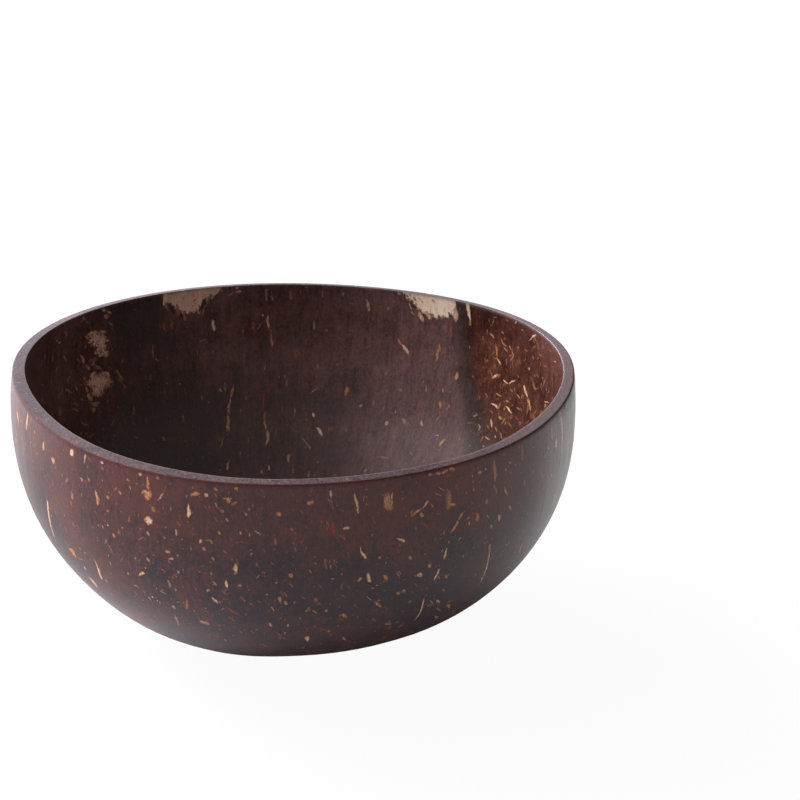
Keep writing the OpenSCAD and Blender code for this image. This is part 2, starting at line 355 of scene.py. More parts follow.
        (-20, 1.6, 9, 2, 88), (-13, 1.6, 9, 2.6, 90), (-7, 1.3, 8, 2.2, 90), (-2, 1.1, 7, 1.5, 90),
    ],
}

INSIDE_FLECKS = {
    "tan": [
        (95.6, 10.6, 4.4, 0.51, -7), (97.6, 41.7, 5.1, 0.54, 9), (106.2, 32.5, 4.5, 0.51, 16),
        (107.3, 36.9, 5.5, 0.57, 9), (109.8, 49, 2.6, 0.43, 16), (97.1, 50.2, 2.2, 0.33, 0),
        (72.4, 5.1, 4.2, 0.58, -7), (55, 16.5, 2.8, 0.52, 3), (49.6, 20.5, 2.6, 0.58, 12),
        (48.4, 38.2, 2.6, 0.6, 22), (39.4, 1.7, 1.4, 0.28, 80), (37.3, 5.3, 0.9, 0.5, -49),
        (34.1, 9.7, 1.7, 0.46, -34), (26.5, 20.7, 4.3, 0.69, -42), (34.7, 24.7, 1.3, 0.39, 6),
        (35, 27.3, 1.7, 0.7, -77), (36.7, 33.3, 2.8, 0.37, -80), (36.7, 35.6, 1, 0.31, -83),
        (37.2, 21.8, 2.5, 0.36, -84), (35.2, 30.4, 1.8, 0.39, -53), (136.8, 18.3, 2.7, 0.73, -55),
        (141.1, 24.8, 3.1, 0.54, -55), (136.8, 0.8, 1.9, 0.59, -54), (135.2, 2, 2.3, 0.39, -58),
        (136, 2.9, 1.9, 0.79, -26), (142.7, 1.4, 1.7, 0.52, -46), (140, 7.1, 2.8, 0.59, -59),
        (136.8, 6.9, 2.9, 0.57, -66), (137.3, 7.7, 2.5, 0.54, 85), (140.3, 8.5, 2.8, 0.41, -83),
        (138.5, 12.2, 2.9, 0.83, -66), (136.3, 13, 3.4, 0.83, -60), (135.8, 9.5, 2.5, 0.53, -73),
        (142.8, 12.4, 2.9, 0.68, -23), (135.6, 21.3, 2.3, 0.64, 37), (141.7, 23.3, 1.9, 0.63, 51),
        (142.7, 20.7, 1.8, 0.63, -18), (142.2, 22.5, 2, 0.83, -16), (140.5, 25.1, 3.3, 0.53, -88),
        (142, 26.2, 1.6, 0.91, 15), (61.8, 4, 2.4, 0.33, -19), (61.3, 5.6, 1.4, 0.46, -41),
        (64.4, 0.6, 1.2, 0.5, -66), (103.3, 0.6, 1.2, 0.54, -40), (103, 1.7, 1.9, 0.46, 79),
    ],
    "russet": [
        (97.4, 35.3, 3.3, 0.4, 11), (89.2, 19.5, 3.5, 0.62, -4), (116.6, 27.5, 2, 0.37, 0),
        (99.4, 11.6, 2.5, 0.56, 6), (101.8, 12.8, 1.7, 0.33, 9), (110.3, 41.1, 1.9, 0.29, -14),
        (118, 23.9, 1.7, 0.29, 0), (121.9, 26.9, 2.6, 0.35, 3), (124.8, 22, 2.4, 0.36, 3),
        (128.2, 32.7, 2.3, 0.36, 10), (72.2, 8.6, 3.2, 0.41, 2), (88.8, 19.4, 3.6, 0.72, 8),
        (76.2, 12.1, 1.9, 0.36, 72), (72.1, 16.5, 2.8, 0.49, 57), (51.6, 9.1, 3.6, 0.48, -4),
        (69.4, 5.2, 2.5, 0.41, 3), (52, 30.9, 2.9, 0.44, -18), (57.8, 24.1, 1.8, 0.32, 4),
        (58, 29.9, 2.7, 0.4, -14), (42.8, 20.8, 1.3, 0.35, 6), (79.8, 5.3, 2, 0.28, -4), (87, 15.9, 1.9, 0.3, 4),
        (91.4, 26.8, 3, 0.43, 7), (101.5, 23.3, 2.2, 0.3, 7), (103.6, 34.3, 2.2, 0.27, 13),
        (109.1, 18.1, 1.9, 0.25, 0), (102.4, 41.9, 2.3, 0.27, 11), (82.1, 20.2, 1.8, 0.25, 0),
        (61.4, 11.6, 1.9, 0.26, 4), (58, 15.8, 1.7, 0.26, 5), (60, 21.7, 1.8, 0.26, 0), (55.1, 24.3, 1.6, 0.24, 0),
        (25, 22.9, 2.2, 0.59, -39), (41, 10.7, 1.3, 0.33, -41), (35.8, 14.9, 1.6, 0.38, -43),
        (31.6, 10.9, 1.8, 0.41, -32), (18.4, 2.7, 2.6, 0.3, -82), (21, 8.3, 2.7, 0.24, 85),
        (24.5, 11.8, 1.9, 0.41, -52), (32, 14.9, 1.7, 0.39, -46), (42.4, 14.2, 1.9, 0.32, -26),
        (29.9, 25.6, 2, 0.34, -72), (29.2, 22.9, 1.9, 0.37, -54), (25.6, 24.8, 1.6, 0.36, 36),
        (37.2, 19.7, 1.5, 0.34, -49), (145.2, 32.1, 3.7, 0.42, -90), (139.8, 13.6, 3.5, 0.84, -80),
        (132.7, 21.2, 2.5, 0.5, -34), (131.8, 23, 2, 0.52, -24), (146.8, 23.3, 3.4, 0.54, -53),
        (53.5, 8, 1.8, 0.31, -18), (51.7, 8, 2.2, 0.41, -14), (120.6, 9.3, 2.7, 0.6, -12),
        (118.6, 9.3, 3, 0.61, -5), (101.6, 12.8, 1.2, 0.38, -26),
    ],
    "amber": [
        (95.2, 15.3, 4.9, 0.48, -6), (97.4, 38, 3.6, 0.51, -7), (105.1, 28.6, 4, 0.49, 17),
        (64.3, 14.1, 2.4, 0.47, -26), (54.7, 14.3, 3.4, 0.51, 9), (76.6, 28.6, 2.9, 0.65, 15),
        (52.4, 28.7, 2.5, 0.55, -18), (50, 28.5, 1.4, 0.37, 0), (39.1, 10.6, 4.1, 0.43, -10),
        (34.8, 8.5, 1.6, 0.54, -36), (34.2, 11.2, 2.3, 0.34, 33), (25.1, 15.5, 2, 0.42, -76),
        (22.3, 11.9, 1.2, 0.38, -72), (15, 4.3, 2.7, 0.28, 75), (32.9, 31.4, 2.2, 0.46, -50),
        (31, 20, 1.9, 0.4, -68), (29.4, 7.4, 1.6, 0.3, -81), (23.6, 6.1, 2.4, 0.26, -84),
        (40.6, 23.1, 1.7, 0.35, -46), (38.2, 26.8, 1.7, 0.39, -70), (31.4, 27.9, 1.9, 0.4, -68),
        (37.8, 30.7, 1.7, 0.31, -60), (23.6, 21.3, 1.7, 0.34, 34), (33.6, 19.4, 1.6, 0.32, -77),
        (40.6, 4.4, 1.4, 0.27, 45), (35.6, 1.4, 1.4, 0.3, -85), (30.5, 2.2, 1.3, 0.3, -85),
        (46.7, 5.4, 2.0, 0.5, 0),
    ],
    "red": [
        (97, 31.5, 5.7, 0.48, 6), (74, 17.1, 2.1, 0.37, -73), (79.3, 38.7, 1.8, 0.34, 28),
        (77, 14.6, 1.6, 0.27, 35), (92.8, 33.9, 2.2, 0.3, 6), (98.4, 17.7, 1.9, 0.25, 4),
        (94.4, 39.9, 2.5, 0.38, 5), (86.2, 25.4, 2.2, 0.25, 3), (69.6, 25.5, 1.7, 0.31, 13),
        (73.7, 10.7, 1.9, 0.25, 8), (22.1, 19.3, 1.8, 0.35, 38), (99.2, 12.7, 1.8, 0.43, -13),
    ],
    "cream": [
        (63, 15.9, 3.8, 0.61, -40), (72.6, 32.1, 1.1, 0.39, 70), (55.8, 34.3, 1.9, 0.49, -27),
        (82.7, 39.7, 3.2, 0.54, -33), (84.7, 35.3, 1.5, 0.43, -9), (32.8, 0.9, 1.5, 0.42, 46),
        (40.6, 7.1, 2.2, 0.46, -54), (26.5, 2.7, 5.8, 0.39, 52), (38.2, 13.3, 2.3, 0.5, -47),
        (39, 17.5, 2.9, 0.53, 49), (35.8, 17.9, 2.2, 0.38, -74), (33.7, 17.2, 3.5, 0.34, 57),
        (28.7, 17.9, 3.9, 0.65, -43), (28.1, 11.7, 0.8, 0.6, -56), (19.2, 16.7, 3.8, 0.26, 73),
        (37.7, 24.8, 3.4, 0.52, -80), (33.2, 24.5, 3.7, 0.46, -69), (37.2, 29.5, 2.6, 0.52, -34),
        (34.2, 22.6, 1.2, 0.36, -84), (139.9, 6.3, 4, 0.71, -87), (138.8, 8, 5.2, 0.9, 85),
        (137.3, 11, 4.2, 0.91, 82), (139.2, 20.5, 6.6, 4, 16), (138.6, 19.4, 8.2, 1.9, -79),
        (139.2, 21.4, 4.5, 1.8, -79), (140.2, 17.6, 2.6, 0.8, 63), (136.2, 18.7, 2.6, 0.71, -39),
        (59.2, 6.3, 3.8, 0.72, -23), (57.5, 5.6, 3, 0.74, -33), (108.8, 10.6, 3.8, 0.64, -10),
    ],
    "rose": [
        (96.2, 2.6, 4.7, 0.43, -3), (96.7, 22.7, 2.2, 0.3, 10), (106.7, 27.5, 2.9, 0.49, 0),
        (130.8, 29.6, 3, 0.55, 15), (112.7, 29.8, 1.9, 0.26, 0), (85, 11.5, 2.8, 0.48, -3),
        (67.3, 5.3, 1.7, 0.35, 9), (63.1, 26.8, 1, 0.64, -62), (60.7, 34.7, 2.7, 0.53, -48),
        (90.8, 47.7, 3.2, 0.51, 2), (79.2, 21.8, 0.9, 0.44, -25), (61.9, 39.2, 1.7, 0.27, -30),
        (55.7, 42.8, 1.5, 0.26, -62), (33, 27.9, 1.2, 0.49, 13), (132.7, 19.7, 4.1, 0.46, -28),
        (145.8, 28.6, 3.6, 0.44, -54), (141.5, 15.1, 3.1, 0.55, -39), (135.1, 20.7, 1.4, 0.55, -37),
        (104.6, 2.3, 2.1, 0.4, 63),
    ],
    "ash": [
        (153.6, 8.3, 2.4, 0.48, -17), (118.7, 34.3, 3, 0.43, 5), (111.2, 31, 1, 0.34, -31),
        (109.9, 42.1, 3.8, 0.38, 23), (86.3, 43.3, 5.4, 0.38, -38), (62.9, 45.3, 4.6, 0.42, -90),
        (89.6, 34.5, 1.8, 0.33, 4), (75.6, 38.8, 1.7, 0.27, -24), (68.6, 41.8, 2, 0.27, -27),
        (52.8, 36.1, 1.2, 0.27, -46), (112.8, 17.9, 1.8, 0.26, 9), (134.5, 5.2, 2.7, 0.42, -49),
        (141.4, 2.9, 1.7, 0.4, -40), (144.2, 12.2, 2.9, 0.48, -49), (138.4, 16.1, 3.3, 0.61, -49),
        (143, 17.6, 1.5, 0.5, -39), (148.4, 18.7, 4.2, 0.52, -55), (147.6, 24.4, 3.5, 0.48, -55),
        (144.7, 22.4, 1.3, 0.45, -41), (109.8, 3.1, 3.3, 0.43, 21), (111, 6.4, 4.4, 0.37, 18),
    ],
    "bone": [
        (137.4, 9.7, 7, 1.9, -14), (139.1, 7.7, 4.1, 1.2, -20), (138.1, 9.3, 5.4, 0.77, -90),
        (136.8, 12.7, 3.9, 0.88, 88), (50.5, 3.9, 4.7, 1, 0),
    ],
    "honey": [
        (90.6, 3.2, 3.1, 0.51, -5), (83, 2.5, 2.3, 0.38, -3), (67.2, 22.6, 1.8, 0.38, 30),
        (141.4, 7, 3, 0.67, -61), (139.9, 9.8, 2.4, 0.34, -60), (140.9, 19.6, 3.4, 0.89, -12),
        (139.4, 22.1, 2.8, 0.83, -80), (117.5, 5.3, 4.1, 0.54, -9), (115.6, 7.5, 2.2, 0.44, -11),
        (120, 3.8, 2.9, 0.43, -22),
    ],
    "gap": [
        (137.6, 7.5, 0.8, 0.34, -30), (139.9, 9.7, 1.2, 0.43, -45), (138.6, 9.5, 1.1, 0.31, -30),
        (141.1, 18.3, 1.1, 0.35, -14), (142.1, 20.3, 1.3, 0.41, -19), (60.8, 3.7, 1.8, 0.81, -54),
        (58.4, 5.9, 1.3, 0.44, -45), (56.5, 5.3, 1.4, 0.45, -75), (54.8, 5.5, 1, 0.34, -76),
        (52.1, 4.3, 1.5, 0.57, -21), (63.2, 0.8, 1.1, 0.41, -14), (111.1, 4.5, 3.7, 0.94, 13),
        (112.1, 5.1, 1.3, 0.37, -32), (118.7, 5, 3.2, 0.85, -20), (116.5, 7.3, 2.1, 0.59, -18),
        (105.1, 0.6, 0.9, 0.64, -66),
    ],
    "bark": [
        (62.5, 1, 0.9, 0.41, -36), (62.4, 2.3, 0.9, 0.38, -36), (60.7, 1.5, 1.5, 0.5, -31),
        (56.2, 1.3, 1.3, 0.36, -32), (59.5, 1.3, 1, 0.33, -53), (61.7, 0.7, 1, 0.35, -32),
        (58.8, 1.9, 1.3, 0.27, -40), (114.1, 7.1, 1.8, 0.68, -27), (112.8, 6.1, 1.5, 0.43, -21),
        (113.3, 3.2, 1.5, 0.34, 66),
    ],
}
# Pale ends of fibre in the cut face of the rim: (direction, distance in from the outer edge)
RIM_FLECKS = [(-173, 1.4), (178, 1.0), (-166, 2.0), (-157, 1.7), (-136, 1.1), (-110, 2.0), (-108, 1.2), (-94, 1.8),
              (-6, 2.2), (-10, 1.5), (-24, 1.2), (31, 1.8), (58, 1.2), (84, 1.8), (127, 1.5), (149, 1.9)]

# Pale tissue under the back of the rim, inside: the directions of a patch's two sides, and its foot as directions and
# depths. The last is a sliver of the right-hand patch that goes on past the dark band.
PALE_PATCHES = [
    (50.1, 66, [50, 50.6, 51.5, 53, 55, 57, 58.9, 60.5, 62.9, 63.6, 65],
     [4.0, 4.6, 4.9, 5.1, 5.7, 5.2, 4.6, 3.4, 1.9, 0.6, -4]),
    (98, 121.3, [105.5, 107, 108.6, 110.6, 112.2, 114, 116, 117.4, 119, 120.4, 121.4],
     [-4, 0.8, 3.0, 3.4, 5.4, 7.4, 6.2, 5.4, 3.2, 3.0, 2.4]),
    (46.4, 47.6, [45.9, 46, 48, 48.1], [-6, 6.2, 0.8, -6]),
]
NO_TISSUE = -6
FIELD_LIMIT = 8
FIBRE_REACH, FIBRE_TURN = 67, 22


def pale_fields(turn, depth, radius):
    """How far inside the sides of the nearest pale patch a place lies, and how far above its foot."""
    side = np.max([np.minimum(turn - first, last - turn) for first, last, *_ in PALE_PATCHES], axis=0)
    foot = np.max([np.interp(turn, turns, depths, left=NO_TISSUE, right=NO_TISSUE)
                   for *_, turns, depths in PALE_PATCHES], axis=0)
    return side * radius * math.radians(1), foot - depth


def dark_bands(turn, depth):
    """How dark the bands down the inside are: a narrow one at the right that leans away, and a wide soft one at the
    left. Gives the direction of the narrow one's middle too."""
    middle = np.interp(depth, [0.5, 6, 13, 19, 25, 31, 35, 45, 60],
                       [48.7, 48.8, 48.4, 47.2, 44.9, 42.1, 40.0, 34.5, 28.0])
    half = np.interp(depth, [0.5, 6, 13, 25, 45], [1.3, 1.6, 2.1, 2.4, 2.8])
    right_band = (smooth(half - np.abs(turn - middle), -1.8, 1.2)
                  * np.interp(depth, [0, 5, 9, 14, 34, 50, 70], [1, 0.6, 0.35, 0.38, 0.6, 0.4, 0]))
    fade = np.interp(depth, [2, 8, 20], [0.5, 4, 9])
    right_limit = np.interp(depth, [1, 7.4, 16, 30, 41], [121.3, 119.3, 114.6, 109.7, 104.8])
    left_band = (smooth((turn - right_limit) / fade, -0.6, 1.0)
                 * smooth(134.5 + 1.5 * np.cos(depth / 5) - turn, -3, 3)
                 * np.interp(depth, [0, 9, 20, 42, 55], [1, 0.85, 0.5, 0.25, 0]))
    return np.maximum(left_band, right_band), middle


def painted_shading_inside(turn, depth, middle):
    """Painted light and shade inside: how much lighter or darker the skin's colour is made against its plain tones,
    lighter high on the left wall and to both sides of the narrow dark band, with painted shade low down in the hollow."""
    return (1 + stretch(turn, 88, 118, 147, 172) * smooth(34 - depth, 0, 18)
            + 0.32 * smooth(turn - middle, 0, 5) * smooth(80 - turn, 0, 20) * smooth(66 - depth, 0, 20)
            + 0.5 * smooth(middle - turn, 0, 8) * smooth(turn, 20, 38) * stretch(depth, 3, 12, 20, 40)
            - 0.34 * smooth(depth, 19, 31) * (1 - 0.35 * hump(turn, 61, 14, 8)) - 0.2 * smooth(depth, 36, 50))


def painted_shading_outside(turn, depth, along):
    """Painted light and shade outside and on the rim: the skin's colour is made lighter at the left front, and darker
    at the right front and under the front of the rim; the rim itself is painted darker at the left and paler in front."""
    left_hand = smooth(-np.cos(np.radians(turn)), 0.80, 1)
    return (1 + 0.26 * hump(turn, -124, 34, 24) * stretch(depth, 8, 22, 46, 66)
            - 0.10 * hump(turn, -88, 40, 20) * smooth(16 - depth, 0, 10)
            - 0.16 * hump(turn, -62, 38, 24) * smooth(depth, 16, 34)
            - 0.32 * left_hand * smooth(along, OUTSIDE_END - 0.2 * MM, OUTSIDE_END + 0.4 * MM)
            + 0.34 * hump(turn, FRONT_TURN, FRONT_HALF, FRONT_SOFT)
            * smooth(along, OUTSIDE_END + 0.4 * MM, OUTSIDE_END + 0.7 * MM))


def warmth_outside(turn, depth):
    """How much redder than plain the skin is outside: more under the near rim, less low down and in front at the
    right, and least in a short dark place under the rim at the right."""
    near = 0.35 + 0.65 * smooth(np.cos(np.radians(turn + 110)), 0.3, 0.95)
    front = smooth(np.cos(np.radians(turn + 72)), 0.6, 0.98)
    return (-0.45 * smooth(depth, 12, 34) + smooth(20 - depth, 0, 18) * near
            - 0.5 * front * stretch(depth, 8, 18, 32, 46)
            - 2.0 * hump(turn, -13, 7, 3) * smooth(3.2 - depth, 0, 1.5))


def warmth_inside(turn, depth, middle):
    """How much redder the skin is inside: a little at the back, most on the right-hand wall, some at the left."""
    return (0.45 * stretch(turn, 52, 58, 98, 112) * smooth(24 - depth, 0, 14)
            + 1.3 * smooth(middle - turn, -0.5, 3.0) * smooth(turn + 46, 0, 12) * smooth(50 - depth, 0, 22)
            + 0.35 * hump(turn, 155, 28, 14))


def skin_fields(angle, along):
    """What the shell is like at each place of its skin, for the material: distances are in millimetres.

    fibre: direction times 67 sqrt(1 - exp(-(r/22)^2)), and the distance along the section, so that grain runs from
    rim to middle. inside, rim, base: 1 on the hollow, the cut face and the flat. matt: 1 on the bare cut, which takes
    no coat. edge_highlight: 1 at the rim's inner edge, where a painted highlight lies. painted_light_right: 1 on the
    rim's right,
    which is painted paler. streaky: 1 where threads show, at both sides of the outside, partly painted sheen.
    back_wall_sheen: 1 on the back wall, paler and greyer there, partly its own tone and partly painted sheen.
    pale_side,
    pale_foot, pale_bright: the pale patches. seam: the dark bands. shade: painted light and shade, how much lighter or
    darker the skin's colour is made, and warm: how red the skin is."""
    turn = signed_turn(angle)
    radius = np.interp(along, ALONG, SECTION[:, 0]) / MM
    reach = FIBRE_REACH * np.sqrt(1 - np.exp(-(radius / FIBRE_TURN) ** 2))
    depth = (np.where(along > LEVEL_END, along - HOLLOW_START, OUTSIDE_END - along)) / MM
    inside = smooth(along, LEVEL_END - 0.1 * MM, HOLLOW_START)
    in_hollow = inside > 0
    pale_side, pale_foot = pale_fields(turn, depth, radius)
    band_darkness, middle = dark_bands(turn, depth)
    streaky_sheen = (hump(turn, -10, 34, 26) + 0.5 * hump(np.abs(turn), 172, 26, 20)) * smooth(42 - depth, 0, 30)
    return {
        "fibre": np.stack([reach * np.cos(angle), reach * np.sin(angle), along / MM + 0 * angle], axis=-1),
        "inside": inside,
        "rim": (smooth(along, OUTSIDE_END + 0.42 * MM, OUTSIDE_END + 0.70 * MM)
                * (1 - smooth(along, HOLLOW_START - 0.08 * MM, HOLLOW_START + 0.14 * MM))),
        "base": smooth(FLAT_END + 1.2 * MM - along, 0, 1.0 * MM),
        "matt": smooth(along, OUTSIDE_END - 0.3 * MM, OUTSIDE_END + 0.2 * MM) * (along < LEVEL_END + 0.05 * MM),
        "edge_highlight": (smooth(along, LEVEL_END - 0.3 * MM, LEVEL_END)
                      * smooth(HOLLOW_START + 0.1 * MM - along, 0, 0.2 * MM)),
        "painted_light_right": smooth(np.cos(angle), 0.45, 0.95),
        "streaky_sheen": streaky_sheen * (1 - inside),
        "back_wall_sheen": inside * smooth(112 - turn, 0, 50) * smooth(turn - middle, -1, 3),
        "pale_side": np.clip(np.where(in_hollow, pale_side, -FIELD_LIMIT), -FIELD_LIMIT, FIELD_LIMIT),
        "pale_foot": np.clip(np.where(in_hollow, pale_foot, -FIELD_LIMIT), -FIELD_LIMIT, FIELD_LIMIT),
        "pale_bright": smooth(-turn, -90, -50) * (depth < 60),
        "band_darkness": np.where(in_hollow, band_darkness, 0),
        "painted_shading": np.where(along > LEVEL_END, painted_shading_inside(turn, depth, middle), painted_shading_outside(turn, depth, along)),
        "warm": warmth_outside(turn, depth) * (1 - inside) + warmth_inside(turn, depth, middle) * inside,
    }


def give_fields(made, angle, along):
    """Stores those fields on a piece's points."""
    for name, values in skin_fields(angle, along).items():
        vector = values.ndim == 2
        kept = made.data.attributes.new(name, "FLOAT_VECTOR" if vector else "FLOAT", "POINT")
        kept.data.foreach_set("vector" if vector else "value", values.astype(np.float32).ravel())


# Columns of a fleck's row, and what its side is on each part of the shell
TURN, BELOW, LENGTH, WIDTH, LEAN, SIDE, BOW, TONE, STRENGTH = 0, 1, 2, 3, 4, 5, 6, slice(7, 10), 10
OUTER, ON_RIM, INNER = -1, 0, 1
PALE_RED = 0.18  # a tone with more red than this is a pale one
WEAKEST, DARK_STRONGEST = 0.55, 0.72
# Limits of the scattered flecks in millimetres, and the share of them that are round
SHORTEST, LONGEST, NARROWEST, WIDEST, ROUND_SHARE = 0.5, 9, 0.3, 1.8, 0.06
SCATTERED_TONES = {"cream": 0.08, "tan": 0.20, "amber": 0.17, "honey": 0.09, "russet": 0.25, "red": 0.12,
                   "rose": 0.05, "ash": 0.04}
FLECK_BULGE, FLECK_SINK = 0.045 * MM, 0.02 * MM


def greyed(tones, turn):
    """Fibres in the grey skin at the back and left are greyer too: part of each tone gives way to its mean."""
    share = 0.28 * smooth(turn, 44, 58)[:, None]
    return tones * (1 - share) + tones.mean(axis=1, keepdims=True) * share * 1.1


def fleck_rows(table, side):
    """A table of flecks as rows of [direction, distance below the rim, length, width, lean, side, bow, red, green,
    blue, strength]. Short ones are fainter, as fibres seen nearly end on are, and pale ones at the back are wider."""
    chance = np.random.default_rng(3)
    rows = np.array([[*noted, side, 0.0, *FIBRE_TONES[tone], 0.0]
                     for tone, flecks in table.items() for noted in flecks])
    pale = rows[:, TONE][:, 0] > PALE_RED
    at_back = smooth(rows[:, TURN], 44, 50) * (side > 0) * pale
    rows[:, WIDTH] *= 1 + 0.25 * at_back
    if side == INNER:
        rows[:, TONE] = greyed(rows[:, TONE], rows[:, TURN])
    rows[:, BOW] = chance.normal(0, 0.05, len(rows))
    rows[:, STRENGTH] = np.clip(WEAKEST + 0.17 * rows[:, LENGTH] * rows[:, WIDTH] ** 0.5 + 0.2 * at_back,
                                WEAKEST, np.where(pale, 1.0, DARK_STRONGEST))
    return rows


def scattered_flecks(seed, count, side, low, high, turns, sizes, strength=(0.35, 0.95), curl=0.06, stray=0.2):
    """More flecks of the same kinds, at random: places even over the skin's area, lengths and widths from lognormal
    laws, leans about the grain but for a share of strays, tones mixed as beside the noted ones. `sizes` holds the
    middle length, its spread and the middle width."""
    chance = np.random.default_rng(seed)
    turn = chance.uniform(*turns, count * 3)
    below = chance.uniform(low, high, count * 3)
    along = HOLLOW_START + below * MM if side == INNER else OUTSIDE_END - below * MM
    keep = chance.uniform(0, HALF_WIDTH, count * 3) < np.interp(along, ALONG, SECTION[:, 0])
    turn, below = turn[keep][:count], below[keep][:count]
    count = len(turn)
    length = np.clip(sizes[0] * np.exp(chance.normal(0, sizes[1], count)), SHORTEST, LONGEST)
    width = np.clip(sizes[2] * np.exp(chance.normal(0, 0.3, count)) * length ** 0.12, NARROWEST, WIDEST)
    rounded = chance.uniform(size=count) < ROUND_SHARE
    width = np.where(rounded, np.minimum(length * 0.6, 2.2), np.minimum(width, length * 0.7))
    lean = np.where(chance.uniform(size=count) > stray, chance.normal(0, 20, count), chance.uniform(-90, 90, count))
    tones = np.array([FIBRE_TONES[tone] for tone in SCATTERED_TONES])
    tones = tones[chance.choice(len(tones), count, p=list(SCATTERED_TONES.values()))]
    if side == INNER:
        tones = greyed(tones, turn)
    return np.c_[turn, below, length, width, lean, np.full(count, side), chance.normal(0, curl, count), tones,
                 chance.uniform(*strength, count)]


def rim_rows():
    """The pale ends of fibres in the cut face of the rim, as rows like the others."""
    length, width, lean, bow, strength = 0.7, 0.45, 40, 0, 1.0
    return np.array([[turn, across, length, width, lean, ON_RIM, bow, *FIBRE_TONES["ash"], strength]
                     for turn, across in RIM_FLECKS])


def fleck_skin(rows, steps=10, wide=4):
    """Flecks of fibre lying in the skin, one lens-shaped sheet each. Gives arrays with one row for each fleck.

    u runs down a fleck from nearly -1 to nearly 1, and v across it. Half its width is w (1 - u)^p (1 + u)^q
    (1 + slow waves), so that it tapers unevenly, its middle line bows to one side by a share of its length times
    (1 - u^2), and its height over the skin is bulge (1 - v^2) - sink, so that its edges lie just under the skin."""
    chance = np.random.default_rng(5)
    count = len(rows)
    u = np.linspace(-0.985, 0.985, steps + 1)[None, :, None]
    v = np.linspace(-1, 1, wide + 1)[None, None, :]
    turn, below, length, width, lean, side, bow = (rows[:, column][:, None, None]
                                                   for column in (TURN, BELOW, LENGTH, WIDTH, LEAN, SIDE, BOW))
    phase = chance.uniform(0, 2 * math.pi, (3, count, 1, 1))
    rough = np.clip((width - 0.5) / 1.5, 0.1, 1) * 0.35
    ragged = 1 + rough * (np.sin(4 * u + phase[0]) * 0.7 + np.sin(9 * u + phase[1]) * 0.5)
    slim = np.clip((length / width - 1.2) / 4, 0, 1)
    top, foot = chance.uniform(0.3, 1.3, (2, count, 1, 1)) * slim + 0.5 * (1 - slim)
    half = width * (1 - u) ** top * (1 + u) ** foot * ragged
    down = u * length * 0.54
    across = v * half + bow * length * (1 - u ** 2) + np.where(length > 3, 0.07 * np.sin(6 * u + phase[2]), 0)
    tilt = np.radians(lean)
    arc = (down * np.sin(tilt) + across * np.cos(tilt)) * MM
    drop = (down * np.cos(tilt) - across * np.sin(tilt)) * MM
    along = np.where(side > 0, HOLLOW_START + below * MM + drop,
                     np.where(side < 0, OUTSIDE_END - below * MM - drop, OUTSIDE_END + below * MM - drop))
    angle = np.radians(turn)
    angle = angle + arc / (np.interp(along, ALONG, SECTION[:, 0]) * plan_swell(angle))
    lift = FLECK_BULGE * (1 - v ** 2) - FLECK_SINK + 0 * angle
    points = on_shell(angle, along, unevenness(angle, along) + lift)
    points[..., 2] = np.minimum(points[..., 2], HEIGHT)
    here = np.arange(steps)[:, None] * (wide + 1) + np.arange(wide)
    quad = np.stack([here, here + 1, here + wide + 2, here + wide + 1], axis=-1).reshape(-1, 4)
    faces = quad[None] + (np.arange(count) * (steps + 1) * (wide + 1))[:, None, None]
    faces = np.where(side > 0, faces, faces[..., ::-1])
    body = (1 - v ** 2) * (1 - np.abs(u) ** 5) + 0 * angle
    tone = np.broadcast_to(rows[:, None, None, TONE.start:STRENGTH + 1], angle.shape + (4,))
    return points, faces, angle, along, body, tone


def fibre_piece(name, skin, chosen):
    """One piece of the chosen flecks, with their own fields: how far in from the edge a place is, and the tone."""
    points, faces, turn, along, body, tone = skin
    moved_up = (np.flatnonzero(chosen) - np.arange(chosen.sum())) * turn[0].size
    its_faces = faces[chosen] - moved_up[:, None, None]
    made = new_mesh(name, points[chosen].reshape(-1, 3), its_faces.reshape(-1, 4).tolist())
    give_fields(made, turn[chosen].ravel(), along[chosen].ravel())
    fleck = made.data.attributes.new("fleck", "FLOAT", "POINT")
    fleck.data.foreach_set("value", body[chosen].astype(np.float32).ravel())
    fleck_tone = made.data.attributes.new("fleck_tone", "FLOAT_COLOR", "POINT")
    fleck_tone.data.foreach_set("color", tone[chosen].astype(np.float32).ravel())
    return made


class Wire:
    """One output of a node. Plain arithmetic between wires and numbers adds Math nodes."""

    def __init__(self, recipe, socket):
        self.recipe, self.socket = recipe, socket

    def math(self, operation, first, second):
        return self.recipe.add("ShaderNodeMath", {"operation": operation}, {0: first, 1: second})

    def __add__(self, other):
        return self.math("ADD", self, other)

    def __radd__(self, other):
        return self.math("ADD", other, self)

    def __sub__(self, other):
        return self.math("SUBTRACT", self, other)

    def __rsub__(self, other):
        return self.math("SUBTRACT", other, self)

    def __mul__(self, other):
        return self.math("MULTIPLY", self, other)

    def __rmul__(self, other):
        return self.math("MULTIPLY", other, self)

    def other(self, name):
        """Another output of the same node."""
        return Wire(self.recipe, self.socket.node.outputs[name])


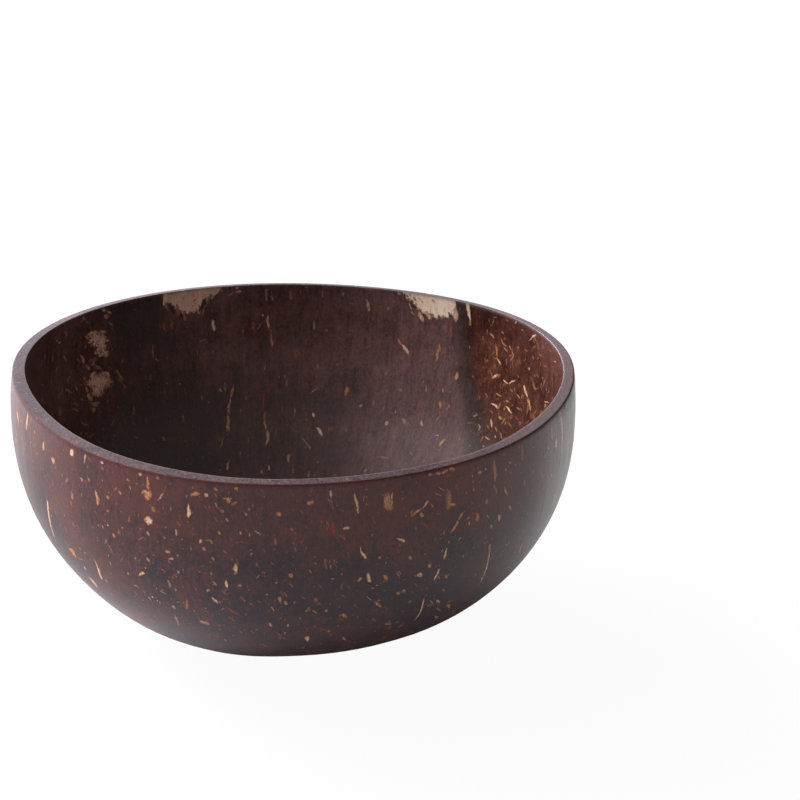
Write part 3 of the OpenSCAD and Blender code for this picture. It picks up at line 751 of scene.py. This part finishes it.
class Recipe:
    """Builds the nodes of one material or world."""

    def __init__(self, owner):
        owner.use_nodes = True
        self.owner, self.tree = owner, owner.node_tree

    def fill(self, socket, value):
        if isinstance(value, Wire):
            self.tree.links.new(value.socket, socket)
        else:
            socket.default_value = value

    def add(self, kind, settings, sockets, output=0):
        """Adds a node, makes its settings, fills its sockets with values or wires and gives one of its outputs."""
        node = self.tree.nodes.new(kind)
        for name, value in settings.items():
            setattr(node, name, value)
        for place, value in sockets.items():
            self.fill(node.inputs[place], value)
        return Wire(self, node.outputs[output])

    def attribute(self, name, output="Fac"):
        return self.add("ShaderNodeAttribute", {"attribute_name": name}, {}, output)

    def rise(self, value, low, high):
        """0 below `low` and 1 above `high`, smooth between them."""
        return self.add("ShaderNodeMapRange", {"interpolation_type": "SMOOTHSTEP"},
                        {"Value": value, "From Min": low, "From Max": high, "To Min": 0.0, "To Max": 1.0})

    def scaled(self, vector, x, y, z):
        return self.add("ShaderNodeVectorMath", {"operation": "MULTIPLY"}, {0: vector, 1: (x, y, z)})

    def dimmed(self, tone, share):
        """A colour times a number that may vary."""
        return self.add("ShaderNodeVectorMath", {"operation": "SCALE"}, {0: tone, "Scale": share})

    def noise(self, place, across, down, detail=3.0, roughness=0.55, warp=0.0):
        """Noise about 0, between -0.5 and 0.5, with about `across` waves a millimetre, and `down` of them in Z."""
        place = self.scaled(place, across, across, down)
        return self.add("ShaderNodeTexNoise", {}, {"Vector": place, "Scale": 1.0, "Detail": detail,
                                                   "Roughness": roughness, "Distortion": warp}, "Fac") - 0.5

    def blend(self, share, first, second):
        """Colour `first` where the share is 0 and `second` where it is 1."""
        return self.add("ShaderNodeMix", {"data_type": "RGBA"}, {0: share, 6: first, 7: second}, 2)

    def tones(self, kind, share):
        """The two colours of a kind of skin, blended."""
        first, second = SKIN_TONES[kind]
        return self.blend(share, (*first, 1.0), (*second, 1.0))

    def specks(self, place, across, down, size, share):
        """Spots, at most one in each cell of a Voronoi pattern with about `across` cells a millimetre, `down` in Z: a
        spot covers the places nearer to its cell's point than `size` times (0.35 + 0.65 g), in the `share` of cells
        whose r is low enough. Gives the spots and b."""
        place = self.scaled(place, across, across, down)
        cells = self.add("ShaderNodeTexVoronoi", {}, {"Vector": place, "Scale": 1.0, "Randomness": 1.0}, "Distance")
        parts = self.add("ShaderNodeSeparateColor", {}, {0: cells.other("Color")}, "Red")
        radius = (parts.other("Green") * 0.65 + 0.35) * size
        spot = self.rise(radius - cells, 0.0, size * 0.4) * self.rise(share - parts, 0.0, 0.02)
        return spot, parts.other("Blue")


def oiled_shell():
    """The coconut shell's skin: dark, streaked from rim to middle, flecked with paler fibre, scraped smooth and oiled
    to a satin. The rim is its bare cut face and the flat underneath is sanded."""
    r = Recipe(bpy.data.materials.new("oiled_coconut_shell"))
    shader = r.tree.nodes["Principled BSDF"]
    fibre = r.attribute("fibre", "Vector")
    here = r.scaled(r.add("ShaderNodeTexCoord", {}, {}, "Object"), 1 / MM, 1 / MM, 1 / MM)
    inside, warm, streaky_sheen, painted_shading = (r.attribute(name) for name in ("inside", "warm", "streaky_sheen", "painted_shading"))

    # Noise drawn out along the fibre, then noise alike in every direction, each from coarse to fine
    bands = r.noise(fibre, 0.30, 0.015, roughness=0.6)
    streak = r.noise(fibre, 0.5, 0.045, detail=4.0, roughness=0.6)
    ragged = r.noise(fibre, 0.55, 0.22, roughness=0.65, warp=0.5)
    curd = r.noise(fibre, 0.9, 0.55, roughness=0.7, warp=0.8)
    hair = r.noise(fibre, 2.3, 0.2, roughness=0.6)
    torn = r.noise(fibre, 2.5, 1.6, roughness=0.7)
    cloud = r.noise(here, 0.04, 0.04, detail=2.0)
    mottle = r.noise(here, 0.16, 0.16, detail=5.0, roughness=0.62, warp=0.6)
    wander = r.noise(here, 0.75, 0.75, detail=2.0, roughness=0.6, warp=1.2)
    grit = r.noise(here, 1.5, 1.5, detail=2.0, roughness=0.7)
    sand = r.noise(here, 3.4, 3.4, detail=2.0, roughness=0.8)

    # Outside: from blue-black to red-brown, curdled at the scale of a millimetre, with paler threads at the sides that
    # are partly painted sheen
    redness = (mottle * 0.9 + cloud + streak * 0.5 + hair * 0.55 + curd * 1.5 + grit * 0.75 + sand * 0.3
               + warm * 0.32)
    outside = r.tones("outside", r.rise(redness, -0.58, 0.68))
    threads = r.rise(hair + streak * 0.5 + bands * 0.5, 0.02, 0.20) * streaky_sheen
    outside = r.blend(threads * 0.42, outside, THREAD_SHEEN_TONE)
    # Inside: greyer and paler at the back, partly painted sheen, redder on the right, with thin wandering strokes and
    # the dark bands
    lightness = (mottle * 0.9 + cloud * 0.6 + streak * 0.7 + hair * 0.45 + curd * 1.1 + grit * 0.55 + sand * 0.15)
    lightness = r.rise(lightness, -0.62, 0.62)
    inner = r.blend(r.rise(warm, 0.0, 1.0), r.tones("inner_grey", lightness), r.tones("inner_red", lightness))
    # The back wall blended paler and greyer, partly its own tone and partly painted sheen
    inner = r.blend(r.attribute("back_wall_sheen") * 0.45, inner, r.tones("back_wall_and_sheen", lightness))
    strokes = r.rise(0.020 - wander.math("ABSOLUTE", wander, 0.0), 0.0, 0.018) * r.rise(mottle + grit * 0.3, -0.05, 0.2)
    inner = r.blend(strokes * 0.7, inner, STROKE_TONE)
    band_darkness = r.attribute("band_darkness") * (1.0 + hair * 0.8 + grit * 0.4)
    inner = r.blend(band_darkness, inner, r.tones("dark_band", lightness))
    skin = r.blend(inside, outside, inner)

    # Specks of fibre too small to note one by one
    small, tone = r.specks(fibre, 0.85, 0.55, size=0.24, share=0.6)
    skin = r.blend(small * (0.9 - inside * 0.4), skin, r.tones("speck", r.rise(tone, 0.3, 1.0)))
    fine, tone = r.specks(fibre, 1.5, 1.0, size=0.30, share=0.6)
    skin = r.blend(fine * (0.75 - inside * 0.35), skin, r.tones("fine_speck", r.rise(tone, 0.2, 0.8)))

    # The patches of pale tissue, with ragged feet and torn places where the dark skin is left
    side = r.rise(r.attribute("pale_side") + grit * 0.4, 0.0, 0.35)
    foot = r.rise(r.attribute("pale_foot") + ragged * 5.0 + curd * 2.6 + grit * 0.8, -0.3, 0.9)
    pale = side * foot * (1.0 - r.rise(curd + grit * 0.6 + hair * 0.4, 0.16, 0.30) * 0.6)
    tissue = r.tones("tissue", r.rise(hair * 0.7 + ragged * 1.2 + grit * 0.8 + curd * 0.8, -0.7, 0.6))
    bright = r.tones("bright_tissue", r.rise(hair * 0.9 + ragged + grit + curd * 0.7, -0.75, 0.25))
    skin = r.blend(pale, skin, r.blend(r.attribute("pale_bright"), tissue, bright))

    # The cut rim and the sanded flat
    cut = r.tones("cut_rim", r.rise(grit * 1.3 + sand * 1.1 + mottle * 0.8, -0.62, 0.66))
    # Painted light: the rim's right is painted paler
    cut = r.blend(r.attribute("painted_light_right") * 0.75, cut, r.tones("right_rim_painted_light", grit + 0.5))
    # Painted highlight along the rim's inner edge
    cut = r.blend(r.attribute("edge_highlight") * (0.5 + curd), cut, EDGE_HIGHLIGHT_TONE)
    pores, tone = r.specks(here, 1.6, 1.6, size=0.32, share=0.5)
    cut = r.blend(pores * 0.75, cut, r.tones("pore", r.rise(tone, 0.5, 0.6)))
    skin = r.blend(r.attribute("rim"), skin, cut)
    base = r.attribute("base")
    skin = r.blend(base, skin, r.tones("sanded_base", r.rise(grit * 0.7 + mottle * 1.4 + cloud * 0.8, -0.6, 0.6)))
    # Painted light and shade: the skin's colour is made lighter or darker by place
    skin = r.dimmed(skin, painted_shading)

    # Flecks: their own pieces carry how far in from the edge a place is, the tone and how strongly it shows. The edge
    # of a fleck is stained by the shell round it.
    body = r.attribute("fleck") + torn * 1.2 + curd * 0.9
    tone = r.attribute("fleck_tone", "Color")
    fleck = r.rise(body, 0.32, 0.80) * tone.other("Alpha")
    tone = r.blend(r.rise(body, 0.62, 1.12), r.scaled(tone, *STAIN), tone)
    # Flecks vary with torn and hair noise, and where the skin is painted lighter their colour takes that painted light
    # too
    worn_and_painted_light_tone = r.dimmed(tone, (torn * 0.9 + hair * 0.6 + 1.05) * painted_shading.math("MAXIMUM", painted_shading, 1.0))
    r.fill(shader.inputs["Base Color"], r.blend(fleck, skin, worn_and_painted_light_tone))

    # Satin coat outside, thin inside and none on the bare cut, uneven where the threads lie
    matt = r.attribute("matt")
    rough = (streak * 0.12 + hair * 0.10 + mottle * 0.12 + curd * 0.10 + 0.47 + fleck * 0.12 + pale * 0.12
             + matt * 0.35 + base * 0.12)
    r.fill(shader.inputs["Roughness"], rough)
    uneven_coat = 1.0 + streaky_sheen * (0.80 + hair * 1.8 + bands * 2.0)
    r.fill(shader.inputs["Coat Weight"], (0.34 - inside * 0.28) * (1.0 - matt) * uneven_coat)
    shader.inputs["Coat Roughness"].default_value = 0.32
    shader.inputs["Specular IOR Level"].default_value = 0.12
    height = (hair * 0.25 + grit * 0.26 + sand * 0.12 + streak * 0.4 + curd * 0.3 + fleck * 0.20 - small * 0.18
              + ragged * 0.3 * (pale + 0.3))
    bump = r.add("ShaderNodeBump", {}, {"Height": height, "Strength": 0.55, "Distance": 0.12 * MM})
    r.fill(shader.inputs["Normal"], bump)
    return r.owner


shell_material = oiled_shell()

points, faces, turn, along = grown_skin()
shell = new_mesh("bowl_shell", points, faces)
give_fields(shell, turn, along)

# The noted flecks, then scattered ones: strong ones outside at the back, small ones all over the outside, strong ones
# low down in front; then inside, strong ones at the front, strong ones low down, small ones everywhere, and curled
# ones on the right-hand and left-hand walls
rows = np.concatenate([
    fleck_rows(OUTSIDE_FLECKS, OUTER), fleck_rows(INSIDE_FLECKS, INNER), rim_rows(),
    scattered_flecks(21, 190, OUTER, 1.0, 86.0, (0, 180), (1.8, 0.6, 0.55), (0.5, 1.0)),
    scattered_flecks(22, 1900, OUTER, 0.6, 88.0, (-180, 180), (0.95, 0.40, 0.32), (0.2, 0.75), stray=0.45),
    scattered_flecks(23, 70, OUTER, 44.0, 88.0, (-180, 0), (1.8, 0.6, 0.55), (0.5, 1.0)),
    scattered_flecks(24, 150, INNER, 1.0, 92.0, (-180, 20), (2.1, 0.6, 0.5), (0.5, 1.0)),
    scattered_flecks(25, 90, INNER, 54.0, 95.0, (0, 180), (1.8, 0.5, 0.5), (0.4, 0.9)),
    scattered_flecks(26, 850, INNER, 0.6, 95.0, (-180, 180), (1.2, 0.5, 0.32), (0.2, 0.8), stray=0.4),
    scattered_flecks(27, 110, INNER, 2.0, 38.0, (19, 43), (1.7, 0.35, 0.34), (0.2, 0.7), curl=0.18, stray=0.7),
    scattered_flecks(28, 60, INNER, 2.0, 38.0, (134, 152), (1.7, 0.4, 0.34), (0.15, 0.6), curl=0.18, stray=0.6),
])
fibres_in_skin = fleck_skin(rows)
inner_side = rows[:, SIDE] == INNER
pieces = [shell, fibre_piece("outer_fibres", fibres_in_skin, ~inner_side),
          fibre_piece("inner_fibres", fibres_in_skin, inner_side)]

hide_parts("shell")
for piece in pieces:
    piece.data.materials.append(shell_material)
    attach(piece, "root")


def backdrop_share(recipe, in_gloss):
    """1 for what the camera sees straight or through glass, `in_gloss` for what it sees in gloss, and 0 for the light
    that falls on the object."""
    path = recipe.add("ShaderNodeLightPath", {}, {}, "Is Camera Ray")
    return path.math("MAXIMUM", path, path.other("Is Transmission Ray")) + path.other("Is Glossy Ray") * in_gloss


def pale_table():
    """White table: matt and pale, and seen nearly as bright as the white behind it, with the bowl's shadow left."""
    r = Recipe(bpy.data.materials.new("pale_table"))
    shader = r.tree.nodes["Principled BSDF"]
    shader.inputs["Base Color"].default_value = (0.8, 0.8, 0.8, 1)
    shader.inputs["Roughness"].default_value = 0.9
    shader.inputs["Specular IOR Level"].default_value = 0.0
    white = r.add("ShaderNodeEmission", {}, {"Color": (1, 1, 1, 1), "Strength": 1.0})
    # In gloss the part of the table that the bowl shades, within 40 mm of its middle and fading to 95 mm, stays dark
    place = r.add("ShaderNodeVectorMath", {"operation": "SUBTRACT"},
                  {0: r.add("ShaderNodeTexCoord", {}, {}, "Object"), 1: (6 * MM, 0.0, 0.0)})
    away = r.add("ShaderNodeVectorMath", {"operation": "LENGTH"}, {0: place}, "Value")
    share = backdrop_share(r, r.rise(away, 40 * MM, 95 * MM)) * TABLE_GLOW
    seen = r.add("ShaderNodeMixShader", {}, {0: share, 1: Wire(r, shader.outputs[0]), 2: white})
    r.fill(r.tree.nodes["Material Output"].inputs["Surface"], seen)
    return r.owner


# How much of the table's look to the camera is plain white, half the table's width, and its depth under the bowl
TABLE_GLOW, TABLE_HALF, TABLE_DROP = 0.955, 4, 2e-5
corners = np.array([(-1, -1), (1, -1), (1, 1), (-1, 1)]) * TABLE_HALF
floor = new_mesh("floor", np.c_[corners, np.full(4, -TABLE_DROP)], [(0, 1, 2, 3)])
floor.data.materials.append(pale_table())

# The room's light on the object is 0.12 of white, and white is what is seen behind it
ROOM_LIGHT = 0.12
studio = Recipe(bpy.data.worlds.new("studio"))
bpy.context.scene.world = studio.owner
background = studio.tree.nodes["Background"]
background.inputs["Color"].default_value = (1, 1, 1, 1)
studio.fill(background.inputs["Strength"], backdrop_share(studio, 1.0) * (1 - ROOM_LIGHT) + ROOM_LIGHT)

# The camera looks down at a point over the middle of the table, and so do the lamps
AIM_HEIGHT, LAMP_AIM_HEIGHT = 31 * MM, 30 * MM
VIEW_DISTANCE, VIEW_ELEVATION = 0.6, math.radians(23.444)


def soft_lamp(name, direction, height, watts, size=0.9, distance=1.2, tint=(1.0, 0.955, 0.995)):
    """A round soft lamp `distance` away from the bowl, at a direction and height in degrees, facing it."""
    lamp = bpy.data.lights.new(name, "AREA")
    lamp.shape, lamp.size, lamp.energy = "DISK", size, watts
    lamp.color = tint
    made = bpy.data.objects.new(name, lamp)
    turn, rise = math.radians(direction), math.radians(height)
    made.location = (distance * math.cos(turn) * math.cos(rise), distance * math.sin(turn) * math.cos(rise),
                     LAMP_AIM_HEIGHT + distance * math.sin(rise))
    made.rotation_euler = (math.pi / 2 - rise, 0, turn + math.pi / 2)
    made.visible_camera = False
    bpy.context.scene.collection.objects.link(made)


soft_lamp("left_limb_lamp", 125, 10, 36.0, size=0.7, tint=(0.90, 0.93, 1.08))
soft_lamp("left_back_lamp", 145, 30, 16.5)
soft_lamp("left_high_lamp", 185, 45, 10.8)
soft_lamp("back_high_lamp", 90, 50, 3.4)
soft_lamp("left_front_lamp", 215, 25, 2.0)

camera_data = bpy.data.cameras.new("camera")
camera = bpy.data.objects.new("camera", camera_data)
bpy.context.scene.collection.objects.link(camera)
camera_data.sensor_width = 36
camera_data.lens = 112.47
camera_data.shift_x = 0.1336
camera_data.shift_y = 0.1131
camera_data.clip_start = 0.01
camera_data.clip_end = 20
camera.location = (0, -VIEW_DISTANCE * math.cos(VIEW_ELEVATION),
                   AIM_HEIGHT + VIEW_DISTANCE * math.sin(VIEW_ELEVATION))
camera.rotation_euler = (math.pi / 2 - VIEW_ELEVATION, 0, 0)
bpy.context.scene.camera = camera
bpy.context.scene.view_settings.view_transform = "Standard"
